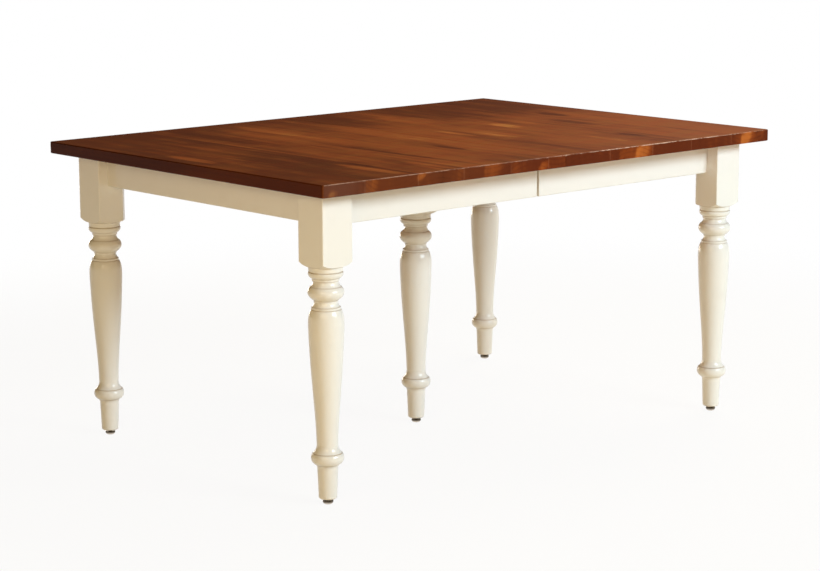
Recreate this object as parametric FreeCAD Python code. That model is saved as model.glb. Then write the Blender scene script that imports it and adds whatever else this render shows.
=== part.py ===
import FreeCAD
import Part
import math
import os

# Extension dining table with five turned legs, closed.
# +X runs along the table, +Y across it and +Z up; the origin is on the floor under the middle.
# The top and aprons are parted at X = 0. Each half slides outwards on wooden rails that run in
# the rails of a centre frame, and the fifth leg stands under that frame. Lengths are millimetres.

V = FreeCAD.Vector
up = V(0, 0, 1)
half_turn = 180
full_turn = 360

# Whole table
table_length = 1524
table_width = 1088
table_height = 762
seam_gap = 0.5
fit_gap = 0.1
running_gap = 0.3
cut_overrun = 5

# Top
top_thickness = 30
top_edge_radius = 3
top_corner_radius = 7
seam_edge_bevel = 0.8

# Alignment pins in the seam
pin_radius = 5
pin_seat_depth = 22
pin_reach = 18
pin_point = 3
pin_socket_gap = 0.3
pins_per_seam = 4
pin_margin = 110

# Legs
leg_block = 88
leg_block_length = 173
leg_block_edge_radius = 2.5
leg_end_inset = 47
leg_side_inset = 59
leg_turning_waste = 1.7
shoulder_rise = 11
shoulder_sag = 1.9
leg_bolt_flat = 16

# Turned outline of a leg: each step's points as shares of the turned length and of its radius
leg_turning_shares = [
    ("line", [(0, 0.430)]),
    ("arc", [(0.003, 0.485), (0.011, 0.512)]),
    ("line", [(0.130, 0.570)]),
    ("arc", [(0.142, 0.596), (0.150, 0.655)]),
    ("line", [(0.151, 0.690)]),
    ("arc", [(0.178, 0.910), (0.199, 0.822)]),
    ("line", [(0.200, 0.795)]),
    ("arc", [(0.211, 0.680), (0.232, 0.590)]),
    ("curve", [(0.306, 0.622), (0.460, 0.768), (0.625, 0.920), (0.718, 0.975),
               (0.764, 0.985), (0.793, 0.945), (0.816, 0.835)]),
    ("line", [(0.817, 0.806)]),
    ("line", [(0.827, 0.796)]),
    ("line", [(0.828, 0.760)]),
    ("arc", [(0.836, 0.688), (0.848, 0.648)]),
    ("line", [(0.849, 0.668)]),
    ("line", [(0.856, 0.680)]),
    ("line", [(0.857, 0.704)]),
    ("curve", [(0.866, 0.846), (0.878, 0.962), (0.890, 1.000), (0.902, 0.962), (0.912, 0.872)]),
    ("line", [(0.913, 0.838)]),
    ("arc", [(0.924, 0.735), (0.937, 0.698)]),
    ("line", [(0.938, 0.742)]),
    ("line", [(0.949, 0.764)]),
    ("line", [(0.950, 0.800)]),
    ("arc", [(0.961, 0.938), (0.974, 0.955)]),
    ("line", [(0.977, 0.905)]),
    ("line", [(0.980, 0.938)]),
    ("line", [(0.999, 0.950)]),
    ("line", [(1, 1)]),
]

# Aprons
apron_thickness = 20
apron_edge_bevel = 1.5
end_apron_drop = 77
side_apron_drop = 82
end_apron_setback = 27
side_apron_setback = 36
apron_split_gap = 8

# Foot sockets and glides
foot_gap = 13
socket_flange_radius = 9.5
socket_flange_thickness = 1.2
socket_barrel_radius = 5.5
socket_barrel_length = 14
stem_radius = 4
stem_length = 32
stem_hole_depth = 42
glide_radius = 12.6
glide_height = 9
glide_flat_radius = 8
glide_rim_height = 6
glide_top_round = 1.6
glide_nut_radius = 6.3
glide_nut_sides = 6

# Wood screws, all alike
screw_length = 17
screw_radius = 2
screw_head_radius = 4.2
screw_head_height = 2.6

# Corner brackets with hanger bolts and wing nuts
bracket_thickness = 2.5
bracket_height = 56
bracket_flange = 34
bracket_standoff = 8
bracket_screw_spacing = 30
bolt_radius = 4
bolt_depth = 44
bolt_end = 26
washer_radius = 11
washer_thickness = 1.5
nut_radius = 8
nut_height = 10
wing_reach = 19
wing_height = 20
wing_thickness = 3.5

# Wooden buttons that hold the top to the aprons
button_width = 26
button_reach = 28
button_thickness = 16
button_tongue = 8
button_tongue_height = 7
button_drop = 11
button_slot_margin = 7
button_counterbore = 10
button_end_margin = 110

# Slide rails
rail_set_setback = 229
centre_rail_width = 36
centre_rail_height = 48
moving_rail_width = 30
moving_rail_height = 45
rail_side_gap = 1
rail_end_gap = 18
centre_rail_shortfall = 50
tongue_depth = 9
tongue_root_height = 12
tongue_tip_height = 18
tongue_gap = 0.4
pad_thickness = 12
pad_length = 60
pad_width = 16
pads_per_rail = 4
pad_end_margin = 50

# Long screws through the rails and pads
rail_screw_radius = 2.5
rail_screw_grip = 67
rail_screw_head_radius = 5
rail_screw_head_height = 3
rail_screw_recess = 8

# Racks and pinions
gear_module = 3
pinion_teeth = 12
pressure_angle = 25
gear_backlash = 0.3
addendum_share = 0.9
dedendum_share = 1.1
gear_face = 8
rack_backing = 8.4
rack_margin = 30
rack_end_margin = 10
pinion_pin_radius = 4
pinion_pin_depth = 24
pinion_pin_head_radius = 7
pinion_pin_head_height = 1.5
pinion_bore_gap = 0.05

# Cross board and the plate on the centre leg
board_thickness = 20
board_length = 180
board_overlap = 42
plate_size = 150
plate_thickness = 4
plate_edge_margin = 17
leg_screw_margin = 20
frame_screw_length = 16
frame_screw_radius = 2.3
frame_screw_head_radius = 4.6
frame_screw_head_height = 2.5
board_screw_length = 48
board_screw_spread = 60

# Swing locks under the seam
lock_setback = 89
lock_plate_length = 46
lock_plate_width = 26
lock_plate_thickness = 2
lock_plate_seam_margin = 6
lock_pivot_inset = 26
lock_pivot_radius = 3
lock_spacer_radius = 6
lock_lever_thickness = 3
lock_lever_width = 16
lock_hub_radius = 10
lock_hook_wall = 6
lock_hook_gap = 0.4
lock_tab_length = 26
lock_post_inset = 22
lock_head_radius = 5
lock_head_height = 1.8
lock_screw_margin = 6
lock_hook_sweep = 16

# Levels and places that follow from these
top_underside = table_height - top_thickness
half_length = table_length / 2
half_width = table_width / 2
leg_outer_x = half_length - leg_end_inset
leg_outer_y = half_width - leg_side_inset
leg_x = leg_outer_x - leg_block / 2
leg_y = leg_outer_y - leg_block / 2
leg_inner_x = leg_outer_x - leg_block
leg_inner_y = leg_outer_y - leg_block
end_apron_outer = leg_outer_x - end_apron_setback
end_apron_inner = end_apron_outer - apron_thickness
side_apron_outer = leg_outer_y - side_apron_setback
side_apron_inner = side_apron_outer - apron_thickness
end_apron_bottom = top_underside - end_apron_drop
side_apron_bottom = top_underside - side_apron_drop
block_bottom = top_underside - leg_block_length
turned_length = block_bottom - foot_gap
turned_radius = leg_block / 2 - leg_turning_waste

moving_rail_top = top_underside - pad_thickness
moving_rail_bottom = moving_rail_top - moving_rail_height
centre_rail_top = moving_rail_top - washer_thickness
centre_rail_bottom = centre_rail_top - centre_rail_height
tongue_level = moving_rail_top - moving_rail_height / 2
rail_set_offset = side_apron_inner - rail_set_setback
rail_near_face = centre_rail_width / 2 + rail_side_gap
rail_far_face = rail_near_face + moving_rail_width
tongue_tip = rail_near_face - tongue_depth
moving_rail_half = end_apron_inner - rail_end_gap
centre_rail_half = moving_rail_half - centre_rail_shortfall

gear_pitch = math.pi * gear_module
pinion_radius = gear_module * pinion_teeth / 2
gear_addendum = gear_module * addendum_share
gear_dedendum = gear_module * dedendum_share
tooth_half = (gear_pitch / 2 - gear_backlash / 2) / 2
rack_back = pinion_radius + gear_dedendum + rack_backing
pad_centre = (rack_back + rail_far_face) / 2
pinion_bottom = centre_rail_top + washer_thickness + running_gap
pinion_top = pinion_bottom + gear_face

board_top = centre_rail_bottom
board_bottom = board_top - board_thickness
plate_bottom = board_bottom - plate_thickness
bracket_level = top_underside - side_apron_drop / 2

lock_offset = side_apron_inner - lock_setback
lock_plate_bottom = top_underside - lock_plate_thickness
lock_spacer_height = screw_head_height + running_gap
lock_lever_top = lock_plate_bottom - lock_spacer_height - running_gap
lock_lever_bottom = lock_lever_top - lock_lever_thickness
lock_pivot_x = lock_plate_seam_margin + lock_pivot_inset
lock_post_x = -lock_post_inset
lock_reach = lock_pivot_x - lock_post_x


# Plain shapes

def box(x_ends, y_ends, z_ends):
    """A block between two values on each axis, given in either order."""
    low = V(min(x_ends), min(y_ends), min(z_ends))
    high = V(max(x_ends), max(y_ends), max(z_ends))
    size = high - low
    return Part.makeBox(size.x, size.y, size.z, low)


def post(radius, x, y, z_ends):
    """An upright cylinder."""
    bottom = min(z_ends)
    return Part.makeCylinder(radius, max(z_ends) - bottom, V(x, y, bottom))


def rod(radius, start, end):
    """A cylinder from one point to another."""
    return Part.makeCylinder(radius, (end - start).Length, start, end - start)


def prism(points, bottom, top):
    """A flat outline of (x, y) points drawn up from one level to another."""
    corners = [V(x, y, bottom) for x, y in points]
    outline = Part.makePolygon(corners + corners[:1])
    return Part.Face(outline).extrude(up * (top - bottom))


def turned(steps, x, y):
    """A solid of revolution on an upright axis from lines, arcs and smooth curves in (r, z)."""
    edges = []
    here = None
    for kind, points in steps:
        places = [V(r, 0, z) for r, z in points]
        if here is None:
            here = places[-1]
            continue
        if kind == "arc":
            edges.append(Part.Arc(here, places[0], places[1]).toShape())
        elif kind == "curve":
            curve = Part.BSplineCurve()
            curve.interpolate([here] + places)
            edges.append(curve.toShape())
        else:
            edges.append(Part.makeLine(here, places[0]))
        here = places[-1]
    face = Part.Face(Part.Wire(edges))
    solid = face.revolve(V(0, 0, 0), up, full_turn)
    solid.translate(V(x, y, 0))
    return solid


def mirrored(shape):
    """The same shape on the other long side of the table."""
    return shape.mirror(V(0, 0, 0), V(0, 1, 0))


def turned_about(shape):
    """The same shape in the other half of the table."""
    copy = shape.copy()
    copy.rotate(V(0, 0, 0), up, half_turn)
    return copy


def edges_where(shape, test):
    """The edges whose centre passes a test."""
    return [edge for edge in shape.Edges if test(edge.CenterOfMass)]


def near(a, b):
    return abs(a - b) < fit_gap


def spread(first, last, count):
    """Evenly spaced places from first to last, both included."""
    return [first + (last - first) * n / (count - 1) for n in range(count)]


# Fasteners

def screw(seat, direction, length, radius, head_radius, head_height):
    """A screw whose head rests on a seat, with its shank along a direction."""
    along = V(direction).normalize()
    head = rod(head_radius, seat - along * head_height, seat)
    return head.fuse(rod(radius, seat, seat + along * length)).removeSplitter()


def flush_screw(surface, direction, length, radius, head_radius, head_height):
    """A countersunk screw whose flat head lies level with a surface."""
    along = V(direction).normalize()
    neck = surface + along * head_height
    head = Part.makeCone(head_radius, radius, head_height, surface, along)
    return head.fuse(rod(radius, neck, neck + along * length)).removeSplitter()


def wood_screw(seat, direction):
    return screw(seat, direction, screw_length, screw_radius, screw_head_radius, screw_head_height)


def wood_screw_hole(seat, direction):
    """Room for a wood screw's shank, a little wider and deeper than the shank."""
    along = V(direction).normalize()
    return rod(screw_radius + fit_gap, seat, seat + along * (screw_length + fit_gap))


# Top

def pin_places():
    limit = half_width - pin_margin
    return spread(-limit, limit, pins_per_seam)


def top_half(pin_hole_radius, pin_hole_depth, screw_seats):
    """The left panel of the top, with eased edges and holes in its seam face and underside."""
    panel = box((-half_length, -seam_gap / 2), (-half_width, half_width), (top_underside, table_height))
    corners = edges_where(panel, lambda c: near(c.x, -half_length) and near(abs(c.y), half_width))
    panel = panel.makeFillet(top_corner_radius, corners)
    rims = edges_where(panel, lambda c: (near(c.z, table_height) or near(c.z, top_underside))
                       and c.x < -seam_gap)
    panel = panel.makeFillet(top_edge_radius, rims)
    seam = edges_where(panel, lambda c: near(c.x, -seam_gap / 2)
                       and (near(c.z, table_height) or near(c.z, top_underside)))
    panel = panel.makeChamfer(seam_edge_bevel, seam)
    level = top_underside + top_thickness / 2
    for y in pin_places():
        mouth = V(cut_overrun, y, level)
        panel = panel.cut(rod(pin_hole_radius, mouth, V(-pin_hole_depth, y, level)))
    for seat in screw_seats:
        panel = panel.cut(wood_screw_hole(seat, up))
    for x, y in rail_screw_places():
        tip = moving_rail_bottom + rail_screw_recess + rail_screw_grip + fit_gap
        panel = panel.cut(post(rail_screw_radius + fit_gap, x, y, (top_underside - cut_overrun, tip)))
    return panel


def seam_pin(y):
    """An alignment pin, seated in the left half, with a tapered point towards the right half."""
    level = top_underside + top_thickness / 2
    shank_end = pin_reach - pin_point
    shank = rod(pin_radius, V(-pin_seat_depth, y, level), V(shank_end, y, level))
    point = Part.makeCone(pin_radius, pin_radius - pin_point / 2, pin_point, V(shank_end, y, level),
                          V(1, 0, 0))
    return shank.fuse(point).removeSplitter()


# Legs

def leg_turning(top):
    """The lathe's outline: a glide end, foot, ring, vase, bead and collar, then the full stock."""
    steps = [("line", [(0, foot_gap)])]
    for kind, shares in leg_turning_shares:
        places = [(q * turned_radius, foot_gap + h * turned_length) for h, q in shares]
        steps.append((kind, places))
    clear_radius = leg_block
    slope_end = block_bottom + shoulder_rise
    corner = leg_block / 2 * math.sqrt(2)
    middle = ((turned_radius + corner) / 2, (block_bottom + slope_end) / 2 - shoulder_sag)
    steps.append(("arc", [middle, (corner, slope_end)]))
    steps.append(("line", [(clear_radius, slope_end + shoulder_rise)]))
    steps.append(("line", [(clear_radius, top + cut_overrun)]))
    steps.append(("line", [(0, top + cut_overrun)]))
    steps.append(("line", [(0, foot_gap)]))
    return steps


def leg(x, y, top):
    """A turned leg with its square block left at the top and a socket hole in its foot."""
    stock = box((x - leg_block / 2, x + leg_block / 2), (y - leg_block / 2, y + leg_block / 2),
                (foot_gap, top))
    upright = edges_where(stock, lambda c: near(abs(c.x - x), leg_block / 2)
                          and near(abs(c.y - y), leg_block / 2))
    stock = stock.makeFillet(leg_block_edge_radius, upright)
    wood = stock.common(turned(leg_turning(top), x, y))
    for radius, height in ((socket_flange_radius, socket_flange_thickness),
                           (socket_barrel_radius, socket_flange_thickness + socket_barrel_length),
                           (stem_radius + fit_gap, stem_hole_depth)):
        wood = wood.cut(post(radius + fit_gap, x, y, (foot_gap - cut_overrun, foot_gap + height + fit_gap)))
    return wood


def bolt_axis():
    """Middle of the bolt flat on the left front leg's inner edge, and the way out of the leg."""
    flat = V(-leg_inner_x - leg_bolt_flat / 2, -leg_inner_y - leg_bolt_flat / 2, bracket_level)
    return flat, V(1, 1, 0).normalize()


def corner_leg():
    """The left front leg, with a flat down its block's inner edge for the hanger bolt."""
    wood = leg(-leg_x, -leg_y, top_underside)
    flat, way = bolt_axis()
    edge_x = -leg_inner_x
    edge_y = -leg_inner_y
    wedge = [(edge_x - leg_bolt_flat, edge_y), (edge_x, edge_y - leg_bolt_flat),
             (edge_x + cut_overrun, edge_y + cut_overrun)]
    wood = wood.cut(prism(wedge, block_bottom, top_underside + cut_overrun))
    inner_end = flat - way * (bolt_depth + fit_gap)
    return wood.cut(rod(bolt_radius + fit_gap, inner_end, flat + way * cut_overrun))


def foot_socket(x, y):
    """A threaded socket: a flange let into the foot and a barrel round the glide's stem."""
    flange_top = foot_gap + socket_flange_thickness
    flange = post(socket_flange_radius, x, y, (foot_gap, flange_top))
    barrel = post(socket_barrel_radius, x, y, (foot_gap, flange_top + socket_barrel_length))
    bore = post(stem_radius + fit_gap, x, y, (foot_gap - cut_overrun, flange_top + stem_hole_depth))
    return flange.fuse(barrel).cut(bore).removeSplitter()


def glide(x, y):
    """A levelling glide: a domed foot, a hexagonal nut and a stem up into the socket."""
    nut_top = foot_gap - running_gap
    rim_round = (glide_flat_radius + glide_radius) / 2 + glide_top_round / 2
    shoulder = glide_height - glide_top_round
    steps = [
        ("line", [(0, 0)]),
        ("line", [(glide_flat_radius, 0)]),
        ("arc", [(rim_round, glide_rim_height / 3), (glide_radius, glide_rim_height)]),
        ("line", [(glide_radius, shoulder)]),
        ("line", [(glide_radius - glide_top_round, glide_height)]),
        ("line", [(0, glide_height)]),
        ("line", [(0, 0)]),
    ]
    dome = turned(steps, x, y)
    corners = [(x + glide_nut_radius * math.cos(math.tau * n / glide_nut_sides),
                y + glide_nut_radius * math.sin(math.tau * n / glide_nut_sides))
               for n in range(glide_nut_sides)]
    nut = prism(corners, glide_height, nut_top)
    stem = post(stem_radius, x, y, (nut_top, nut_top + stem_length))
    return dome.fuse([nut, stem]).removeSplitter()


# Aprons and what holds them

def eased_board(board, bottom):
    """A board with its long bottom edges bevelled."""
    low = edges_where(board, lambda c: near(c.z, bottom))
    longest = max(edge.Length for edge in low)
    return board.makeChamfer(apron_edge_bevel, [edge for edge in low if near(edge.Length, longest)])


def button_places():
    """Middle of each button on its apron's inner face, with the way from the apron inwards."""
    side_limits = (-leg_inner_x + button_end_margin, -button_end_margin)
    end_limit = leg_inner_y - button_end_margin
    places = [(V(x, -side_apron_inner, 0), V(0, 1, 0)) for x in side_limits]
    places += [(V(x, side_apron_inner, 0), V(0, -1, 0)) for x in side_limits]
    places += [(V(-end_apron_inner, y, 0), V(1, 0, 0)) for y in (-end_limit, 0, end_limit)]
    return places


def button_part(face, way, along_half, near_end, far_end, z_ends):
    """A block that stands on an apron's inner face, or reaches into it with a negative end."""
    side = V(-way.y, way.x, 0)
    first = face + way * near_end - side * along_half
    last = face + way * far_end + side * along_half
    return box((first.x, last.x), (first.y, last.y), z_ends)


def button_slot(face, way):
    top = top_underside - button_drop + running_gap
    bottom = top - button_tongue_height - running_gap * 2
    half = button_width / 2 + button_slot_margin
    return button_part(face, way, half, -button_tongue - running_gap, cut_overrun, (bottom, top))


def button_seat(face, way):
    """Where the head of a button's screw rests, inside its counterbore."""
    level = top_underside - button_thickness + button_counterbore
    return face + way * (button_reach / 2) + up * level


def button(face, way):
    """A wooden button with a tongue in the apron's slot, screwed to the top."""
    bottom = top_underside - button_thickness
    body = button_part(face, way, button_width / 2, running_gap, button_reach, (bottom, top_underside))
    tongue_top = top_underside - button_drop
    tongue = button_part(face, way, button_width / 2, -button_tongue, button_reach / 2,
                         (tongue_top - button_tongue_height, tongue_top))
    seat = button_seat(face, way)
    bore = rod(screw_head_radius + running_gap, seat, seat - up * (button_thickness + cut_overrun))
    wood = body.fuse(tongue).removeSplitter()
    return wood.cut(bore).cut(wood_screw_hole(seat, up))


def bracket_reach():
    """How far from the aprons' inner corner the bracket's diagonal meets each apron."""
    across = (end_apron_inner - leg_inner_x) + (side_apron_inner - leg_inner_y)
    return across - leg_bolt_flat + bracket_standoff * math.sqrt(2)


def bracket_screw_seats():
    """Head seats of the bracket's screws with the way they point, for the left front corner."""
    middle = bracket_reach() + bracket_flange / 2 + bracket_thickness / 2
    seats = []
    for rise in (-bracket_screw_spacing / 2, bracket_screw_spacing / 2):
        level = bracket_level + rise
        on_end = V(-end_apron_inner + bracket_thickness, -side_apron_inner + middle, level)
        on_side = V(-end_apron_inner + middle, -side_apron_inner + bracket_thickness, level)
        seats.append((on_end, V(-1, 0, 0)))
        seats.append((on_side, V(0, -1, 0)))
    return seats


def corner_bracket():
    """A folded steel plate across the left front corner, screwed to both aprons."""
    reach = bracket_reach()
    tip = reach + bracket_flange
    inner = reach + bracket_thickness * math.tan(math.pi / 8)
    outline = [(0, tip), (0, reach), (reach, 0), (tip, 0), (tip, bracket_thickness),
               (inner, bracket_thickness), (bracket_thickness, inner), (bracket_thickness, tip)]
    placed = [(u - end_apron_inner, v - side_apron_inner) for u, v in outline]
    plate = prism(placed, bracket_level - bracket_height / 2, bracket_level + bracket_height / 2)
    flat, way = bolt_axis()
    plate = plate.cut(rod(bolt_radius + running_gap, flat, flat + way * bolt_end))
    for seat, direction in bracket_screw_seats():
        plate = plate.cut(wood_screw_hole(seat, direction))
    return plate


def hanger_bolt():
    """A stud screwed into the leg's inner edge, which passes through the bracket."""
    flat, way = bolt_axis()
    return rod(bolt_radius, flat - way * bolt_depth, flat + way * (bracket_standoff + bolt_end))


def wing_nut():
    """A nut with a washer under it and two wings that widen outwards, on the hanger bolt."""
    flat, way = bolt_axis()
    seat = flat + way * (bracket_standoff + bracket_thickness)
    top_of_washer = seat + way * washer_thickness
    body = rod(washer_radius, seat, top_of_washer).fuse(rod(nut_radius, top_of_washer,
                                                            top_of_washer + way * nut_height))
    side = V(-way.y, way.x, 0)
    for turn in (1, -1):
        out = side * turn
        root = top_of_washer + way * washer_thickness
        outline = [root, root + out * wing_reach + way * (nut_height / 2),
                   root + out * wing_reach + way * wing_height,
                   root + out * nut_radius + way * nut_height]
        low = [point - up * (wing_thickness / 2) for point in outline]
        body = body.fuse(Part.Face(Part.makePolygon(low + low[:1])).extrude(up * wing_thickness))
    bore = rod(bolt_radius + fit_gap, flat, flat + way * (bracket_standoff + bolt_end + cut_overrun))
    return body.removeSplitter().cut(bore)


def side_apron():
    """The left half's front apron, between the leg's block and the split at the seam."""
    board = box((-leg_inner_x, -apron_split_gap / 2), (-side_apron_outer, -side_apron_inner),
                (side_apron_bottom, top_underside))
    board = eased_board(board, side_apron_bottom)
    for seat, direction in bracket_screw_seats():
        board = board.cut(wood_screw_hole(seat, direction))
    for face, way in button_places():
        board = board.cut(button_slot(face, way))
    return board


def end_apron():
    """The left end apron, between the blocks of two legs."""
    board = box((-end_apron_outer, -end_apron_inner), (-leg_inner_y, leg_inner_y),
                (end_apron_bottom, top_underside))
    board = eased_board(board, end_apron_bottom)
    for seat, direction in bracket_screw_seats():
        hole = wood_screw_hole(seat, direction)
        board = board.cut([hole, mirrored(hole)])
    for face, way in button_places():
        board = board.cut(button_slot(face, way))
    return board


# Slide rails: in each set the left half's rail lies on the -Y side and the right half's on +Y

def rail_set_places():
    return (-rail_set_offset, rail_set_offset)


def pad_places():
    first = -moving_rail_half + pad_end_margin
    last = -seam_gap - pad_end_margin - rack_margin
    return spread(first, last, pads_per_rail)


def rail_screw_places():
    """Middle of each pad of the left half, where a long screw passes."""
    return [(x, set_y - pad_centre) for set_y in rail_set_places() for x in pad_places()]


def tongue_outline(extra):
    """A dovetail's (y, z) corners on the -Y side of a rail set, widened by a gap all round."""
    root = tongue_root_height / 2 + extra
    tip = tongue_tip_height / 2 + extra
    return [(-rail_near_face, -root), (-rail_near_face, root), (-tongue_tip + extra, tip),
            (-tongue_tip + extra, -tip)]


def dovetail(set_y, half_length_of_rail, extra):
    """A dovetail bar along X for the rail set at set_y."""
    corners = [V(-half_length_of_rail, set_y + y, tongue_level + z) for y, z in tongue_outline(extra)]
    face = Part.Face(Part.makePolygon(corners + corners[:1]))
    return face.extrude(V(half_length_of_rail * 2, 0, 0))


def moving_rail(set_y):
    """A left-half rail with a dovetail tongue, bored for the long screws under its pads."""
    rail = box((-moving_rail_half, moving_rail_half), (set_y - rail_far_face, set_y - rail_near_face),
               (moving_rail_bottom, moving_rail_top))
    rail = rail.fuse(dovetail(set_y, moving_rail_half, 0)).removeSplitter()
    for x in pad_places():
        y = set_y - pad_centre
        seat = moving_rail_bottom + rail_screw_recess
        head_room = post(rail_screw_head_radius + running_gap, x, y, (moving_rail_bottom - cut_overrun, seat))
        shank_room = post(rail_screw_radius + fit_gap, x, y, (seat, moving_rail_top + cut_overrun))
        rail = rail.cut(head_room).cut(shank_room)
    return rail


def pad(x, y):
    """A spacer between the rail and the top, with a hole for the long screw."""
    block = box((x - pad_length / 2, x + pad_length / 2), (y - pad_width / 2, y + pad_width / 2),
                (moving_rail_top, top_underside))
    return block.cut(post(rail_screw_radius + fit_gap, x, y,
                          (moving_rail_top - cut_overrun, top_underside + cut_overrun)))


def rail_screw(x, y):
    seat = V(x, y, moving_rail_bottom + rail_screw_recess)
    return screw(seat, up, rail_screw_grip, rail_screw_radius, rail_screw_head_radius,
                 rail_screw_head_height)


def centre_rail(set_y):
    """A rail of the centre frame, grooved on both sides, with holes for its pin and screws."""
    rail = box((-centre_rail_half, centre_rail_half),
               (set_y - centre_rail_width / 2, set_y + centre_rail_width / 2),
               (centre_rail_bottom, centre_rail_top))
    groove = dovetail(set_y, centre_rail_half + cut_overrun, tongue_gap)
    opposite = groove.mirror(V(0, set_y, 0), V(0, 1, 0))
    rail = rail.cut(groove).cut(opposite)
    pin_end = centre_rail_top - pinion_pin_depth - fit_gap
    rail = rail.cut(post(pinion_pin_radius + fit_gap, 0, set_y, (pin_end, centre_rail_top + cut_overrun)))
    for x, y in board_screw_places():
        tip = board_bottom + frame_screw_head_height + board_screw_length + fit_gap
        rail = rail.cut(post(frame_screw_radius + fit_gap, x, y, (board_bottom, tip)))
    return rail


# Racks and pinions

def rack(set_y):
    """A left-half rack on its rail's top, with teeth towards the pinion. Teeth face +Y."""
    first = -rack_margin
    last = moving_rail_half - rack_end_margin
    slope = math.tan(math.radians(pressure_angle))
    root_half = tooth_half + gear_dedendum * slope
    tip_half = tooth_half - gear_addendum * slope
    root_y = set_y - pinion_radius - gear_dedendum
    tip_y = set_y - pinion_radius + gear_addendum
    back_y = set_y - rack_back
    outline = [(first, back_y), (first, root_y)]
    count = math.ceil(first / gear_pitch)
    centre = (count + 1 / 2) * gear_pitch
    while centre + root_half < last:
        outline += [(centre - root_half, root_y), (centre - tip_half, tip_y),
                    (centre + tip_half, tip_y), (centre + root_half, root_y)]
        centre += gear_pitch
    outline += [(last, root_y), (last, back_y)]
    return prism(outline, moving_rail_top, moving_rail_top + gear_face)


def pinion_flank(radius):
    """Half of a tooth's angle at a radius, from the involute of the base circle."""
    base = pinion_radius * math.cos(math.radians(pressure_angle))
    at_pitch = math.radians(pressure_angle)
    at_radius = math.acos(min(1, base / radius))
    involute = (math.tan(at_pitch) - at_pitch) - (math.tan(at_radius) - at_radius)
    return tooth_half / pinion_radius + involute


def pinion(set_y):
    """A toothed wheel on the centre rail's pin, in mesh with the racks on both sides."""
    base = pinion_radius * math.cos(math.radians(pressure_angle))
    root = pinion_radius - gear_dedendum
    tip = pinion_radius + gear_addendum
    middle = (base + tip) / 2
    step = math.tau / pinion_teeth

    def place(radius, angle):
        return V(radius * math.cos(angle), set_y + radius * math.sin(angle), pinion_bottom)

    edges = []
    for n in range(pinion_teeth):
        axis = math.tau / 4 + n * step
        rise = [(r, axis - pinion_flank(r)) for r in (base, middle, tip)]
        fall = [(r, axis + pinion_flank(r)) for r in (tip, middle, base)]
        foot = axis - pinion_flank(base)
        heel = axis + pinion_flank(base)
        next_foot = foot + step
        edges.append(Part.makeLine(place(root, foot), place(base, foot)))
        edges.append(Part.Arc(*[place(r, a) for r, a in rise]).toShape())
        edges.append(Part.Arc(place(*rise[-1]), place(tip, axis), place(*fall[0])).toShape())
        edges.append(Part.Arc(*[place(r, a) for r, a in fall]).toShape())
        edges.append(Part.makeLine(place(base, heel), place(root, heel)))
        edges.append(Part.Arc(place(root, heel), place(root, (heel + next_foot) / 2),
                              place(root, next_foot)).toShape())
    wheel = Part.Face(Part.Wire(edges)).extrude(up * gear_face)
    bore = post(pinion_pin_radius + pinion_bore_gap, 0, set_y,
                (pinion_bottom - cut_overrun, pinion_top + cut_overrun))
    return wheel.cut(bore)


def pinion_pin(set_y):
    """A headed pin in the centre rail that carries a pinion, and the washer under the pinion."""
    head_bottom = pinion_top + running_gap
    shank = post(pinion_pin_radius, 0, set_y, (centre_rail_top - pinion_pin_depth, head_bottom))
    head = post(pinion_pin_head_radius, 0, set_y, (head_bottom, head_bottom + pinion_pin_head_height))
    washer = post(pinion_pin_head_radius, 0, set_y, (centre_rail_top, centre_rail_top + washer_thickness))
    bore = post(pinion_pin_radius + pinion_bore_gap, 0, set_y,
                (centre_rail_top - cut_overrun, pinion_bottom))
    return [shank.fuse(head).removeSplitter(), washer.cut(bore)]


# Centre frame

def frame_screw(surface, direction, length):
    return flush_screw(surface, direction, length, frame_screw_radius, frame_screw_head_radius,
                       frame_screw_head_height)


def frame_screw_room(surface, direction, length):
    """Room for a countersunk screw: the same form a little larger."""
    along = V(direction).normalize()
    neck = surface + along * frame_screw_head_height
    cone = Part.makeCone(frame_screw_head_radius + fit_gap, frame_screw_radius + fit_gap,
                         frame_screw_head_height, surface, along)
    return cone.fuse(rod(frame_screw_radius + fit_gap, surface, neck + along * (length + fit_gap)))


def board_screw_places():
    return [(x, set_y) for set_y in rail_set_places() for x in (-board_screw_spread, board_screw_spread)]


def plate_screw_places():
    """Screws up into the cross board near the plate's corners."""
    far = plate_size / 2 - plate_edge_margin
    return [V(x, y, plate_bottom) for x in (-far, far) for y in (-far, far)]


def leg_screw_places():
    """Screws down into the end of the centre leg."""
    far = leg_block / 2 - leg_screw_margin
    return [V(x, y, board_bottom) for x in (-far, far) for y in (-far, far)]


def cross_board():
    """A board under both centre rails, which carries the centre leg's plate."""
    reach = rail_set_offset + board_overlap
    board = box((-board_length / 2, board_length / 2), (-reach, reach), (board_bottom, board_top))
    for x, y in board_screw_places():
        board = board.cut(frame_screw_room(V(x, y, board_bottom), up, board_screw_length))
    for place in plate_screw_places():
        board = board.cut(frame_screw_room(place, up, frame_screw_length))
    return board


def leg_plate():
    """A steel plate between the cross board and the centre leg."""
    plate = box((-plate_size / 2, plate_size / 2), (-plate_size / 2, plate_size / 2),
                (plate_bottom, board_bottom))
    for place in plate_screw_places():
        plate = plate.cut(frame_screw_room(place, up, frame_screw_length))
    for place in leg_screw_places():
        plate = plate.cut(frame_screw_room(place, -up, frame_screw_length))
    return plate


def centre_leg():
    wood = leg(0, 0, plate_bottom)
    for place in leg_screw_places():
        wood = wood.cut(frame_screw_room(place, -up, frame_screw_length))
    return wood


# Swing locks

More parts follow.
